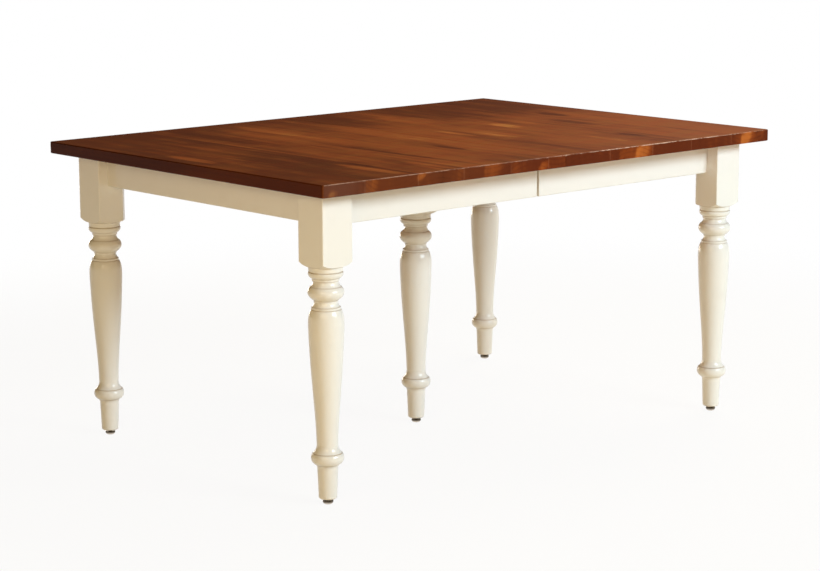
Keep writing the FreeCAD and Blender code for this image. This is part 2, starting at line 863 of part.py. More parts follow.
def lock_plate(y, seam_side):
    """A plate on the top's underside beside the seam: side -1 is left and 1 is right."""
    x_near = seam_side * lock_plate_seam_margin
    x_far = seam_side * (lock_plate_seam_margin + lock_plate_length)
    plate = box((x_near, x_far), (y - lock_plate_width / 2, y + lock_plate_width / 2),
                (lock_plate_bottom, top_underside))
    for seat in lock_screw_seats(y, seam_side):
        plate = plate.cut(wood_screw_hole(seat, up))
    return plate


def lock_screw_seats(y, seam_side):
    """Two corners of a lock's plate, away from the lever's hub."""
    x_far = seam_side * (lock_plate_seam_margin + lock_plate_length - lock_screw_margin)
    across = lock_plate_width / 2 - lock_screw_margin
    return [V(x_far, y - across, lock_plate_bottom), V(x_far, y + across, lock_plate_bottom)]


def lock_keeper(y):
    """The left half's plate with the post that the lever hooks round."""
    plate = lock_plate(y, -1)
    return plate.fuse(post(lock_pivot_radius, lock_post_x, y,
                           (lock_lever_bottom - lock_head_height, lock_plate_bottom))).removeSplitter()


def lock_base(y):
    """The right half's plate with the riveted pivot that carries the lever."""
    plate = lock_plate(y, 1)
    spacer = post(lock_spacer_radius, lock_pivot_x, y,
                  (lock_plate_bottom - lock_spacer_height, lock_plate_bottom))
    rivet_bottom = lock_lever_bottom - running_gap
    pivot = post(lock_pivot_radius, lock_pivot_x, y, (rivet_bottom, lock_plate_bottom))
    head = post(lock_head_radius, lock_pivot_x, y, (rivet_bottom - lock_head_height, rivet_bottom))
    return plate.fuse([spacer, pivot, head]).removeSplitter()


def ring_part(inner, outer, start, sweep):
    """A sector of a flat ring about the origin, at the lever's level. Angles are in degrees."""
    ring = Part.makeCylinder(outer, lock_lever_thickness, V(0, 0, lock_lever_bottom), up, sweep)
    hole = post(inner, 0, 0, (lock_lever_bottom - cut_overrun, lock_lever_top + cut_overrun))
    ring = ring.cut(hole)
    ring.rotate(V(0, 0, 0), up, start)
    return ring


def lock_lever(y):
    """A flat lever with a thumb tab and a hook, shown swung open, its arm towards +Y."""
    post_room = lock_pivot_radius + lock_hook_gap
    outer = lock_reach + post_room + lock_hook_wall
    slot_inner = lock_reach - post_room
    quarter = full_turn / 4
    hub = post(lock_hub_radius, 0, 0, (lock_lever_bottom, lock_lever_top))
    bar = box((-lock_lever_width / 2, lock_lever_width / 2), (-lock_hub_radius - lock_tab_length, slot_inner),
              (lock_lever_bottom, lock_lever_top))
    hook = ring_part(slot_inner - lock_hook_wall, outer, quarter - lock_hook_sweep / 2, lock_hook_sweep)
    post_half_angle = math.degrees(post_room / lock_reach)
    slot = ring_part(slot_inner, lock_reach + post_room, quarter - post_half_angle,
                     lock_hook_sweep)
    bore = post(lock_pivot_radius + fit_gap, 0, 0,
                (lock_lever_bottom - cut_overrun, lock_lever_top + cut_overrun))
    lever = hub.fuse([bar, hook]).removeSplitter().cut(slot).cut(bore)
    lever.translate(V(lock_pivot_x, y, 0))
    return lever


# One half of the table, made as the left one

def half_pieces():
    """Every piece that is alike in both halves, under the names it has in the left half."""
    front_screws = bracket_screw_seats()
    bracket_screws = [wood_screw(seat, direction) for seat, direction in front_screws]
    button_screws = [wood_screw(button_seat(face, way), up) for face, way in button_places()]
    front_leg = corner_leg()
    front_apron = side_apron()
    bracket = corner_bracket()
    bolt = hanger_bolt()
    nut = wing_nut()
    pieces = {
        "front_leg": front_leg,
        "back_leg": mirrored(front_leg),
        "end_apron": end_apron(),
        "front_apron": front_apron,
        "back_apron": mirrored(front_apron),
        "front_corner_bracket": bracket,
        "back_corner_bracket": mirrored(bracket),
        "hanger_bolts": [bolt, mirrored(bolt)],
        "wing_nuts": [nut, mirrored(nut)],
        "wood_screws": bracket_screws + [mirrored(one) for one in bracket_screws] + button_screws,
        "top_buttons": [button(face, way) for face, way in button_places()],
        "foot_sockets": [foot_socket(-leg_x, -leg_y), foot_socket(-leg_x, leg_y)],
        "rail_pads": [pad(x, y) for x, y in rail_screw_places()],
        "rail_screws": [rail_screw(x, y) for x, y in rail_screw_places()],
    }
    for name, set_y in zip(("front", "back"), rail_set_places()):
        pieces[name + "_rail"] = moving_rail(set_y)
        pieces[name + "_rack"] = rack(set_y)
    return pieces


def screw_seats_in_top(seam_side):
    """Seats of all wood screws that enter a half's top, as they lie in the left half."""
    seats = [button_seat(face, way) for face, way in button_places()]
    for y in (-lock_offset, lock_offset):
        seats += [V(-abs(seat.x), seat.y, seat.z) for seat in lock_screw_seats(y, seam_side)]
    return seats


def all_pieces():
    pieces = {}
    swapped = {"front": "back", "back": "front"}
    for name, shape in half_pieces().items():
        pieces["left_" + name] = shape
        first, _, rest = name.partition("_")
        right_name = "right_" + (swapped[first] + "_" + rest if first in swapped else name)
        is_group = isinstance(shape, list)
        pieces[right_name] = [turned_about(one) for one in shape] if is_group else turned_about(shape)

    left_top = top_half(pin_radius + fit_gap, pin_seat_depth + fit_gap, screw_seats_in_top(-1))
    right_top = top_half(pin_radius + pin_socket_gap, pin_reach + running_gap, screw_seats_in_top(1))
    pieces["left_top"] = left_top
    pieces["right_top"] = turned_about(right_top)
    pieces["seam_pins"] = [seam_pin(y) for y in pin_places()]

    lock_rows = (-lock_offset, lock_offset)
    pieces["lock_keepers"] = [lock_keeper(y) for y in lock_rows]
    pieces["lock_bases"] = [lock_base(y) for y in lock_rows]
    pieces["front_lock_lever"] = lock_lever(-lock_offset)
    pieces["back_lock_lever"] = lock_lever(lock_offset)
    for y in lock_rows:
        pieces["left_wood_screws"] += [wood_screw(seat, up) for seat in lock_screw_seats(y, -1)]
        pieces["right_wood_screws"] += [wood_screw(seat, up) for seat in lock_screw_seats(y, 1)]

    for name, set_y in zip(("front", "back"), rail_set_places()):
        pieces[name + "_centre_rail"] = centre_rail(set_y)
        pieces[name + "_pinion"] = pinion(set_y)
    pieces["pinion_pins"] = [solid for set_y in rail_set_places() for solid in pinion_pin(set_y)]
    pieces["cross_board"] = cross_board()
    pieces["cross_board_screws"] = [frame_screw(V(x, y, board_bottom), up, board_screw_length)
                                    for x, y in board_screw_places()]
    pieces["centre_leg_plate"] = leg_plate()
    pieces["centre_plate_screws"] = [frame_screw(place, up, frame_screw_length)
                                     for place in plate_screw_places()]
    pieces["centre_plate_screws"] += [frame_screw(place, -up, frame_screw_length)
                                      for place in leg_screw_places()]
    pieces["centre_leg"] = centre_leg()
    pieces["centre_foot_socket"] = foot_socket(0, 0)

    corners = {"left_front": (-leg_x, -leg_y), "left_back": (-leg_x, leg_y),
               "right_front": (leg_x, -leg_y), "right_back": (leg_x, leg_y), "centre": (0, 0)}
    for name, (x, y) in corners.items():
        pieces[name + "_glide"] = glide(x, y)
    return pieces


os.makedirs("parts", exist_ok=True)
for node, shape in sorted(all_pieces().items()):
    solid = Part.makeCompound(shape) if isinstance(shape, list) else shape
    solid.exportStep("parts/" + node + ".step")
    print(node, len(solid.Solids), "solids", round(solid.Volume), "mm3", solid.isValid())
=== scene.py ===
import math

import bmesh
import bpy
from mathutils import Matrix, Vector


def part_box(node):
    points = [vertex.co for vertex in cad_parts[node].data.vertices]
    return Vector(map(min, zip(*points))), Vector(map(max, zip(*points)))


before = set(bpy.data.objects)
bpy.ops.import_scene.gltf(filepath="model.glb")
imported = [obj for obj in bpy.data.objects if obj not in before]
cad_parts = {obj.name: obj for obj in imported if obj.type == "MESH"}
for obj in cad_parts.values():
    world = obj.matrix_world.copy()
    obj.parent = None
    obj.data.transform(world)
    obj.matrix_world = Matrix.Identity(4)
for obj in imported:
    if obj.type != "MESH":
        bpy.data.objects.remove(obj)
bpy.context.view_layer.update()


# Camera: a long lens on a tripod, off the table's near left corner and above its top, looking
# slightly down. Its place comes from the top's corners and the feet in the photograph.
camera_place = Vector((-3.9349, -4.3798, 1.4744))
camera_heading = math.radians(48.209)
camera_dip = math.radians(10.656)
camera_roll = math.radians(-0.208)
picture_width = 820
focal_pixels = 2288.7
sensor_width = 36
farthest_seen = 200

forward = Vector((math.cos(camera_heading) * math.cos(camera_dip),
                  math.sin(camera_heading) * math.cos(camera_dip),
                  -math.sin(camera_dip)))
level_right = Vector((math.sin(camera_heading), -math.cos(camera_heading), 0))
level_up = level_right.cross(forward)
rightward = math.cos(camera_roll) * level_right + math.sin(camera_roll) * level_up
upward = math.cos(camera_roll) * level_up - math.sin(camera_roll) * level_right

lens = bpy.data.cameras.new("tripod_camera")
lens.sensor_width = sensor_width
lens.lens = focal_pixels / picture_width * sensor_width
lens.clip_end = farthest_seen
camera = bpy.data.objects.new("tripod_camera", lens)
camera.matrix_world = Matrix((rightward, upward, -forward)).transposed().to_4x4()
camera.location = camera_place
bpy.context.scene.collection.objects.link(camera)
bpy.context.scene.camera = camera
bpy.context.scene.view_settings.view_transform = "Standard"


# Studio: a plain white floor in a white room whose walls are dim to gloss. A broad lamp stands at
# the front right, one hangs overhead, and three small ones fill the left and the back. The floor
# keeps part of the table's shadow, and feet screwed out below its level are seen through it.
class Shade:
    """A value, colour or vector in one set of nodes. Sums and products are its Math nodes."""

    def __init__(self, tree, socket=None):
        self.tree = tree
        self.socket = socket

    def node(self, kind, settings=None, sockets=None, result=0):
        """Any other node: its settings are set first, then its sockets' values or links."""
        made = self.tree.nodes.new(kind)
        for name, setting in (settings or {}).items():
            if name == "stops":
                self.place_stops(made.color_ramp, setting)
            else:
                setattr(made, name, setting)
        for name, given in (sockets or {}).items():
            if isinstance(given, Shade):
                self.tree.links.new(given.socket, made.inputs[name])
            else:
                made.inputs[name].default_value = given
        return Shade(self.tree, made.outputs[result] if made.outputs else None)

    def place_stops(self, ramp, stops):
        """Sets a ramp's stops, each a place and a colour. The first word says how they join."""
        ramp.interpolation, *places = stops
        while len(ramp.elements) < len(places):
            ramp.elements.new(1)
        for element, (place, colour) in zip(ramp.elements, places):
            element.position = place
            element.color = (*colour, 1)

    def output(self, name):
        """Another output of the node that this comes from."""
        return Shade(self.tree, self.socket.node.outputs[name])

    def parts(self):
        """The three numbers of this vector."""
        split = self.node("ShaderNodeSeparateXYZ", None, {"Vector": self})
        return [split.output(axis) for axis in "XYZ"]

    def math(self, operation, *terms):
        return self.node("ShaderNodeMath", {"operation": operation}, dict(enumerate(terms)))

    def __add__(self, other):
        return self.math("ADD", self, other)

    def __sub__(self, other):
        return self.math("SUBTRACT", self, other)

    def __rsub__(self, other):
        return self.math("SUBTRACT", other, self)

    def __mul__(self, other):
        return self.math("MULTIPLY", self, other)

    __radd__ = __add__
    __rmul__ = __mul__

    def size(self):
        """This value without its sign."""
        return self.math("ABSOLUTE", self)

    def at_most(self, limit):
        return self.math("MINIMUM", self, limit)

    def at_least(self, limit):
        return self.math("MAXIMUM", self, limit)

    def swing(self, amount):
        """A noise's value moved to swing about 0, by half the amount to either side."""
        return (self - 0.5) * amount

    def smooth(self, low, high):
        """0 below low, 1 above high and a soft step between them, also with low above high."""
        return self.node("ShaderNodeMapRange", {"interpolation_type": "SMOOTHSTEP"},
                         {"Value": self, "From Min": low, "From Max": high})

    def near(self, middle, reach):
        """1 at the middle value, falling softly to 0 at the reach on either side."""
        return (self - middle).size().smooth(reach, 0)

    def mix(self, first, second):
        """Between two colours by this value."""
        return self.node("ShaderNodeMix", {"data_type": "RGBA"},
                         {"Factor": self, 6: first, 7: second}, 2)

    def blend(self, first, second):
        """Between two surfaces by this value."""
        return self.node("ShaderNodeMixShader", None, {0: self, 1: first, 2: second})

    def ramp(self, stops):
        """The colour of the ramp at this value."""
        return self.node("ShaderNodeValToRGB", {"stops": stops}, {"Fac": self})

    def stretched(self, factors):
        """This vector or colour with each of its three parts multiplied."""
        return self.node("ShaderNodeVectorMath", {"operation": "MULTIPLY"}, {0: self, 1: factors})

    def moved(self, x, y, z):
        """This vector moved by three values."""
        step = self.node("ShaderNodeCombineXYZ", None, {0: x, 1: y, 2: z})
        return self.node("ShaderNodeVectorMath", {"operation": "ADD"}, {0: self, 1: step})

    def noise(self, cells, detail=2, roughness=0.5):
        """Noise from 0 to 1 at this place, with so many cells a metre along X, Y and Z."""
        return self.node("ShaderNodeTexNoise", None,
                         {"Vector": self.stretched(cells), "Scale": 1,
                          "Detail": detail, "Roughness": roughness})

    def bump(self, strength, depth):
        """The surface's normal where this value is its relief."""
        return self.node("ShaderNodeBump", None,
                         {"Height": self, "Strength": strength, "Distance": depth})


def empty_material(name):
    """A new material, the Shade that its nodes are made from, and the place on the object."""
    material = bpy.data.materials.new(name)
    material.use_nodes = True
    material.node_tree.nodes.clear()
    start = Shade(material.node_tree)
    return material, start, start.node("ShaderNodeTexCoord").output("Object")


def ray_kinds(start):
    """Rays of the camera, rays of gloss, and these two with those through glass, at most 1."""
    path = start.node("ShaderNodeLightPath")
    camera_ray = path.output("Is Camera Ray")
    glossy_ray = path.output("Is Glossy Ray")
    shown = camera_ray + glossy_ray + path.output("Is Transmission Ray")
    return camera_ray, glossy_ray, shown.at_most(1)


floor_half_side = 90
floor_colour = (0.95, 0.86, 0.68, 1)
floor_shadow_share = 0.08
full_shadow_radius = 1
no_shadow_radius = 3.2
fill_colour = (1.0, 0.73, 0.35, 1)
fill_strength = 0.22
far_wall_colour = (0.060, 0.050, 0.042, 1)
right_wall_colour = (0.170, 0.175, 0.180, 1)
wall_top, wall_foot = 0.995, 0.80
wall_turn = (-0.10, 0.22)
white = (1, 1, 1, 1)

floor_shape = bmesh.new()
bmesh.ops.create_grid(floor_shape, x_segments=1, y_segments=1, size=floor_half_side)
floor_mesh = bpy.data.meshes.new("floor")
floor_shape.to_mesh(floor_mesh)
floor_shape.free()
floor = bpy.data.objects.new("floor", floor_mesh)
bpy.context.scene.collection.objects.link(floor)

floor_paint, start, place = empty_material("floor_paint")
camera_ray, _, shown = ray_kinds(start)
lit = start.node("ShaderNodeBsdfDiffuse", None, {"Color": floor_colour})
glowing = start.node("ShaderNodeEmission", None, {"Color": white, "Strength": 1})
see_through = start.node("ShaderNodeBsdfTransparent")
x, y = place.parts()[:2]
shaded = (x * x + y * y).smooth(no_shadow_radius ** 2, full_shadow_radius ** 2)
plain_share = shown * (1 - shaded * floor_shadow_share)
upper_side = plain_share.blend(lit, camera_ray.blend(glowing, see_through))
from_below = start.node("ShaderNodeNewGeometry").output("Backfacing")
start.node("ShaderNodeOutputMaterial", None,
           {"Surface": from_below.blend(upper_side, see_through)})
floor_mesh.materials.append(floor_paint)

room = bpy.data.worlds.new("room")
room.use_nodes = True
room.node_tree.nodes.clear()
bpy.context.scene.world = room
start = Shade(room.node_tree)
_, glossy_ray, shown = ray_kinds(start)
x, y, height = start.node("ShaderNodeTexCoord").parts()
walls = glossy_ray * height.smooth(wall_top, wall_foot)
wall_colour = (x - y).smooth(*wall_turn).mix(far_wall_colour, right_wall_colour)
backdrop = start.node("ShaderNodeBackground", None,
                      {"Color": walls.mix(white, wall_colour), "Strength": 1})
fill = start.node("ShaderNodeBackground", None, {"Color": fill_colour, "Strength": fill_strength})
start.node("ShaderNodeOutputWorld", None, {"Surface": shown.blend(fill, backdrop)})


def hang_lamp(name, place, aim, width, height, watts, colour):
    """A soft box of that width and height, hung at a place and turned to its aim."""
    lamp = bpy.data.lights.new(name, "AREA")
    lamp.shape = "RECTANGLE"
    lamp.size = width
    lamp.size_y = height
    lamp.energy = watts
    lamp.color = colour
    box = bpy.data.objects.new(name, lamp)
    box.location = place
    box.visible_camera = False
    box.rotation_euler = (Vector(aim) - Vector(place)).to_track_quat("-Z", "Y").to_euler()
    bpy.context.scene.collection.objects.link(box)


hang_lamp("front_right_lamp", place=(1.5, -5.5, 2.88), aim=(0.1, -0.2, 0.5),
          width=2.6, height=1.4, watts=279, colour=(0.72, 0.87, 1.0))
hang_lamp("front_left_lamp", place=(-2.3, -1.9, 1.2), aim=(-0.7, -0.3, 0.45),
          width=0.9, height=0.9, watts=9, colour=(1.0, 0.76, 0.43))
hang_lamp("overhead_lamp", place=(2.0, 0.3, 3.0), aim=(0.3, -0.1, 0.75),
          width=1.7, height=1.7, watts=42, colour=(1.0, 0.96, 0.88))
hang_lamp("window_lamp", place=(-3.5, -1.5, 1.6), aim=(-0.7, -0.5, 0.5),
          width=0.7, height=0.8, watts=14, colour=(1.0, 0.82, 0.55))
hang_lamp("back_lamp", place=(0.8, 3.6, 0.36), aim=(0, 0.3, 0.38),
          width=1.8, height=0.6, watts=20, colour=(1.0, 0.93, 0.82))


# Top: two halves of glued brown maple boards that run across the table, stained red-brown under
# a satin lacquer. The long edges show end grain, darker and redder, with joints that catch the
# light. A pale painted highlight runs along their arris, a painted reflection greys the end grain
# near the left end, and painted shade darkens the top towards the back and the far corner.
top_half_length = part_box("right_top")[1].x
top_half_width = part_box("right_top")[1].y
top_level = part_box("right_top")[1].z
board_joints = (-0.640, -0.480, -0.337, -0.185, -0.060, 0, 0.155, 0.310, 0.455, 0.610)
board_tones = (0.42, 0.42, 0.48, 0.55, 0.55, 0.59, 0.55, 0.57, 0.55, 0.58, 0.60)
board_bows = (3, -4, 4, -3, 4, -5, 3, 4, -4, 3, -4)
widest_bow = 6
board_shift = (3, 41, 7)
drift_cells = (2.5, 1.1, 2.5)
wave_cells = (5, 1.3, 5)
streak_cells = (34, 3.6, 34)
cloud_cells = (8, 2.6, 8)
fibre_cells = (420, 13, 420)
curl_cells = (9, 38, 9)
end_streak_cells = (60, 3, 14)
end_cloud_cells = (11, 2, 6)
grain_lean = 0.05
ring_radians_per_metre = 520
ring_waviness = 14
# How much each part of the figure deepens or lightens the stain, on the faces and on end grain.
streak_depth, cloud_depth, fibre_depth, curl_depth, ring_depth = 0.34, 0.30, 0.13, 0.09, 0.035
end_streak_depth, end_cloud_depth, end_fibre_depth, end_ring_depth = 0.36, 0.5, 0.08, 0.06
end_plain_depth, end_tone_share = 0.24, 0.35
# Painted shade: the top's colour darkens towards the back, where less lamp light falls.
back_shade = 0.24
back_shade_band = (0.05, 0.80)
back_shade_lean = 0.3
marked_depth = 0.006
unmarked_depth = 0.014
stain_stops = ("EASE", (0, (0.042, 0.008, 0.002)), (0.35, (0.150, 0.032, 0.007)),
               (0.62, (0.385, 0.092, 0.019)), (1, (0.720, 0.250, 0.055)))
curl_tint = (0.95, 1.13, 1.10)
side_edge_colour = (0.068, 0.013, 0.002, 1)
side_edge_shade = (0.046, 0.008, 0.001, 1)
side_edge_turn = (-0.15, 0.15)
side_edge_share = 0.85
end_grain_stops = ("EASE", (0, (0.036, 0.006, 0.002)), (0.4, (0.112, 0.020, 0.005)),
                   (0.7, (0.225, 0.044, 0.008)), (1, (0.450, 0.120, 0.022)))
left_end_tint = (1.12, 1.45, 1.6)
left_end_band = (-0.05, -0.45)
# Painted reflection: a greyish sheen laid on the end grain near the left end.
painted_reflection_colour = (0.120, 0.044, 0.026, 1)
painted_reflection_band = (-0.60, -0.71)
painted_reflection_share = 0.7
# Painted highlight: a pale colour laid along the long arris, where the lamps would glint.
painted_highlight_colour = (0.650, 0.430, 0.310, 1)
joint_colour = (0.330, 0.130, 0.070, 1)
joint_share = 0.8
wide_joint, narrow_joint = 0.0014, 0.0009
edge_band = (0.0025, 0.000625)
arris_coat = 0.05
arris_coat_band = (0.0035, 0.0012)
painted_highlight_band = (0.0024, 0.0019)
painted_highlight_side = (0.004, 0.002)
brightest_highlight_x, brightest_highlight_reach = 0.33, 0.42
faintest_highlight = 0.42
seam_highlight_band = (0.0034, 0.0020)
seam_highlight_reach = 0.005
# Marks in the wood, with one painted shade among the dark ones: where the middle is, half the
# width, half the length, and the strength. On the top the place is x and y; on the long edges it
# is x and z, and the length is the height.
amber_marks = (
    (-0.705, 0.010, 0.022, 0.090, 0.15), (-0.505, -0.420, 0.018, 0.110, 0.21),
    (-0.225, 0.300, 0.030, 0.160, 0.17), (0.092, -0.050, 0.018, 0.085, 0.23),
    (0.180, -0.105, 0.040, 0.120, 0.20), (0.330, 0.005, 0.022, 0.060, 0.23),
    (0.405, 0.015, 0.030, 0.045, 0.15), (0.320, -0.370, 0.016, 0.080, 0.22),
    (0.235, 0.330, 0.045, 0.240, 0.10), (-0.355, -0.470, 0.030, 0.100, 0.14),
    (-0.045, -0.100, 0.030, 0.380, 0.10))
# The wide dark mark at 0.480, 0.330 is painted shade on the far corner; the others are in the
# wood.
dark_marks_and_painted_shade = (
    (0.600, 0.100, 0.022, 0.065, 0.17), (0.505, -0.080, 0.034, 0.085, 0.13),
    (0.425, -0.395, 0.016, 0.050, 0.15), (-0.108, -0.250, 0.020, 0.070, 0.15),
    (-0.430, 0.330, 0.034, 0.190, 0.12), (-0.282, -0.300, 0.012, 0.260, 0.14),
    (-0.470, -0.350, 0.008, 0.070, 0.20), (0.480, 0.330, 0.220, 0.210, 0.07),
    (0.030, 0.400, 0.090, 0.180, 0.10), (-0.592, -0.110, 0.030, 0.100, 0.08))
end_patches = (
    (-0.738, 0.738, 0.014, 0.011, 0.55), (-0.622, 0.748, 0.026, 0.060, 0.16),
    (-0.470, 0.756, 0.016, 0.012, 0.34), (-0.242, 0.752, 0.028, 0.030, 0.22),
    (-0.075, 0.740, 0.014, 0.014, 0.34), (0.230, 0.744, 0.040, 0.060, 0.16),
    (0.278, 0.742, 0.030, 0.034, 0.42), (0.650, 0.744, 0.040, 0.040, 0.14),
    (0.676, 0.744, 0.026, 0.034, 0.40), (0.722, 0.748, 0.016, 0.050, 0.12))
patch_slant = 0.5
mark_softness = 1.6

stained, start, place = empty_material("stained_boards")
x, y, z = place.parts()

board_edges = (-top_half_length,) + board_joints + (top_half_length,)
board_middles = [(low + high) / 2 for low, high in zip(board_edges, board_edges[1:])]
# A ramp along the table holds each board's tone, middle and bow as its red, green and blue.
board_rows = []
for low, middle, tone, bow in zip(board_edges, board_middles, board_tones, board_bows):
    share_along = (low + top_half_length) / (2 * top_half_length)
    packed = (tone, (middle + top_half_length) / 2, (bow + widest_bow) / (2 * widest_bow))
    board_rows.append((share_along, packed))
share_along = (x + top_half_length) * (0.5 / top_half_length)
tone, middle, bow = share_along.ramp(("CONSTANT", *board_rows)).parts()
middle = middle * 2 - top_half_length
bow = bow * (2 * widest_bow) - widest_bow

# Each board has its own figure. Its growth rings are arcs, bowed about the board's middle.
grain = place.moved(*(middle * shift for shift in board_shift))
drift = grain.noise(drift_cells).swing(1)
grain = grain.moved(drift * grain_lean, 0, 0)
from_middle = x - middle + drift * grain_lean
rings = (from_middle * from_middle * bow + z) * ring_radians_per_metre
rings = rings + grain.noise(wave_cells, detail=3) * ring_waviness
ring_line = rings.math("SINE", rings).smooth(0.2, 1)
streaks = grain.noise(streak_cells, detail=5, roughness=0.62)
clouds = grain.noise(cloud_cells, detail=3, roughness=0.55)
fibres = grain.noise(fibre_cells, detail=2, roughness=0.6)
curl = grain.noise(curl_cells)
depth = tone + streaks.swing(streak_depth) + clouds.swing(cloud_depth)
depth = depth + fibres.swing(fibre_depth) + curl.swing(curl_depth) - ring_line * ring_depth


def mark(across, along, middle, half_width, half_length):
    """A soft long spot round a place, drawn out along the grain."""
    u = (across - middle[0]) * (1 / half_width)
    v = (along - middle[1]) * (1 / half_length)
    return (u * u + v * v).smooth(mark_softness, 0)


# Painted shade darkens the top towards the back. The marks' outlines wander along and across the
# grain, and streaks and fibres break them up, and the painted shade with them.
marks_and_painted_shade = (x * back_shade_lean + y).smooth(*back_shade_band) * -back_shade
frayed_x = x + drift * 0.10 + streaks.swing(0.05) + fibres.swing(0.012)
frayed_y = y + clouds.swing(0.14) + fibres.swing(0.10)
for mark_x, mark_y, half_width, half_length, strength in amber_marks:
    marks_and_painted_shade = marks_and_painted_shade + mark(frayed_x, frayed_y, (mark_x, mark_y), half_width, half_length) * strength
for mark_x, mark_y, half_width, half_length, strength in dark_marks_and_painted_shade:
    marks_and_painted_shade = marks_and_painted_shade - mark(frayed_x, frayed_y, (mark_x, mark_y), half_width, half_length) * strength
broken = streaks.smooth(0.34, 0.64) * 1.1 + fibres.swing(1) + 0.35
near_top = z.smooth(top_level - unmarked_depth, top_level - marked_depth)
face_colour = (depth + marks_and_painted_shade * broken * near_top).ramp(stain_stops)
face_colour = curl.smooth(0.35, 0.70).mix(face_colour, face_colour.stretched(curl_tint))

# End grain, with patches that lean as the saw left them and a pale line at each joint.
joint_line = x.near(board_joints[0], wide_joint)
for joint in board_joints[1:]:
    joint_line = joint_line + x.near(joint, narrow_joint)
end_streaks = grain.noise(end_streak_cells, detail=3, roughness=0.6)
end_clouds = grain.noise(end_cloud_cells, detail=3)
end_depth = tone * end_tone_share + end_plain_depth
end_depth = end_depth + end_streaks.swing(end_streak_depth) + end_clouds.swing(end_cloud_depth)
end_depth = end_depth + fibres.swing(end_fibre_depth) - ring_line * end_ring_depth
slanted = x - z * patch_slant + end_clouds.swing(0.070) + end_streaks.swing(0.014)
for patch_x, patch_z, half_width, half_height, strength in end_patches:
    spot = (patch_x - patch_z * patch_slant, patch_z)
    end_depth = end_depth + mark(slanted, z, spot, half_width, half_height) * strength
end_colour = end_depth.ramp(end_grain_stops)
end_colour = x.smooth(*left_end_band).mix(end_colour, end_colour.stretched(left_end_tint))
# Painted reflection: near the left end the end grain turns greyish, as the lacquer's sheen would.
end_colour = (x.smooth(*painted_reflection_band) * painted_reflection_share).mix(end_colour, painted_reflection_colour)
joint_shown = joint_line * end_clouds.smooth(0.30, 0.55) * joint_share
end_colour = joint_shown.mix(end_colour, joint_colour)

# Which colour shows where: by how far in from the edges a place is, and the painted highlight at
# the arris.
in_from_long_edge = top_half_width - y.size()
in_from_short_edge = top_half_length - x.size()
in_from_arris = top_level - z + in_from_long_edge.at_most(in_from_short_edge)
long_edge = in_from_long_edge.smooth(*edge_band)
short_edge = in_from_short_edge.smooth(*edge_band)
short_edge_colour = y.smooth(*side_edge_turn).mix(side_edge_colour, side_edge_shade)
colour = long_edge.mix(face_colour, end_colour)
colour = (short_edge * side_edge_share).mix(colour, short_edge_colour)
# Painted highlight: a broken pale line along the long arris, brightest right of the middle and at
# the seam.
painted_highlight = in_from_arris.smooth(*painted_highlight_band) * in_from_long_edge.smooth(*painted_highlight_side)
painted_highlight = painted_highlight * (streaks + fibres.swing(1)).smooth(0.35, 0.60)
painted_highlight = painted_highlight * (x.near(brightest_highlight_x, brightest_highlight_reach) * 1.05 + faintest_highlight)
painted_highlight = painted_highlight + in_from_arris.smooth(*seam_highlight_band) * x.near(0, seam_highlight_reach)
colour = painted_highlight.at_most(1).mix(colour, painted_highlight_colour)
relief = fibres * 0.5 + ring_line * 0.2 - joint_line * 0.8


def finish_surface(start, sockets):
    """The material's surface from what these sockets hold, joined to its output."""
    surface = start.node("ShaderNodeBsdfPrincipled", None, sockets)
    start.node("ShaderNodeOutputMaterial", None, {"Surface": surface})


def coat(nodes, material):
    """Gives those nodes of the frame one finish."""
    for name in nodes:
        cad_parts[name].data.materials.clear()
        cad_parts[name].data.materials.append(material)


finish_surface(start, {
    "Base Color": colour, "Specular IOR Level": 0.035,
    "Roughness": 0.30 + fibres.swing(0.10) + clouds.swing(0.08) + long_edge * 0.10,
    "Coat Weight": in_from_arris.smooth(*arris_coat_band) * arris_coat, "Coat Roughness": 0.22,
    "Normal": relief.bump(strength=0.35, depth=0.00025)})
coat(["left_top", "right_top"], stained)


# Legs and aprons: hardwood under sprayed cream paint, with a thin tan glaze wiped off the flats
# and left in the turned grooves, where it is also painted shade. Fine brush marks run down the
# legs and along the aprons.
paint_colour = (0.888, 0.852, 0.785, 1)
glaze_and_shade_colour = (0.420, 0.305, 0.185, 1)
brush_cells_across, brush_cells_along = 300, 6
mottle_cells = (9, 9, 9)
skin_cells = (700, 700, 700)
groove_wobble = 0.0012
# Grooves that hold glaze and painted shade: the height, the reach up and down, and the strength.
groove_levels = ((0.5590, 0.0022, 0.55), (0.5460, 0.0018, 0.72), (0.5318, 0.0017, 0.48),
                 (0.5252, 0.0022, 0.50), (0.5118, 0.0018, 0.50), (0.4806, 0.0018, 0.52),
                 (0.4652, 0.0024, 0.40), (0.4592, 0.0017, 0.60), (0.1220, 0.0017, 0.75),
                 (0.0952, 0.0020, 0.60), (0.0140, 0.0022, 0.30))


def painted(name, run, grooves=()):
    """Cream paint whose brush marks run along axis 0, 1 or 2, with glaze and painted shade at the
    groove levels.
    """
    material, start, place = empty_material(name)
    brush_cells = [brush_cells_across] * 3
    brush_cells[run] = brush_cells_along
    brush = place.noise(brush_cells, detail=3, roughness=0.6)
    mottle = place.noise(mottle_cells, detail=3, roughness=0.6)
    skin = place.noise(skin_cells, detail=1)
    level = place.parts()[2] + mottle.swing(groove_wobble)
    glaze_and_shade = mottle.smooth(0.55, 0.95) * 0.10
    for height, reach, strength in grooves:
        glaze_and_shade = glaze_and_shade + level.near(height, reach) * (mottle * 0.6 + 0.7) * strength
    glaze_and_shade = (glaze_and_shade + brush.swing(0.05)).at_most(1)
    finish_surface(start, {
        "Base Color": glaze_and_shade.mix(paint_colour, glaze_and_shade_colour), "Specular IOR Level": 0.5,
        "Roughness": 0.20 + mottle.swing(0.07) + glaze_and_shade * 0.2,
        "Normal": (brush * 0.6 + skin * 0.4).bump(strength=0.25, depth=0.0002)})
    return material


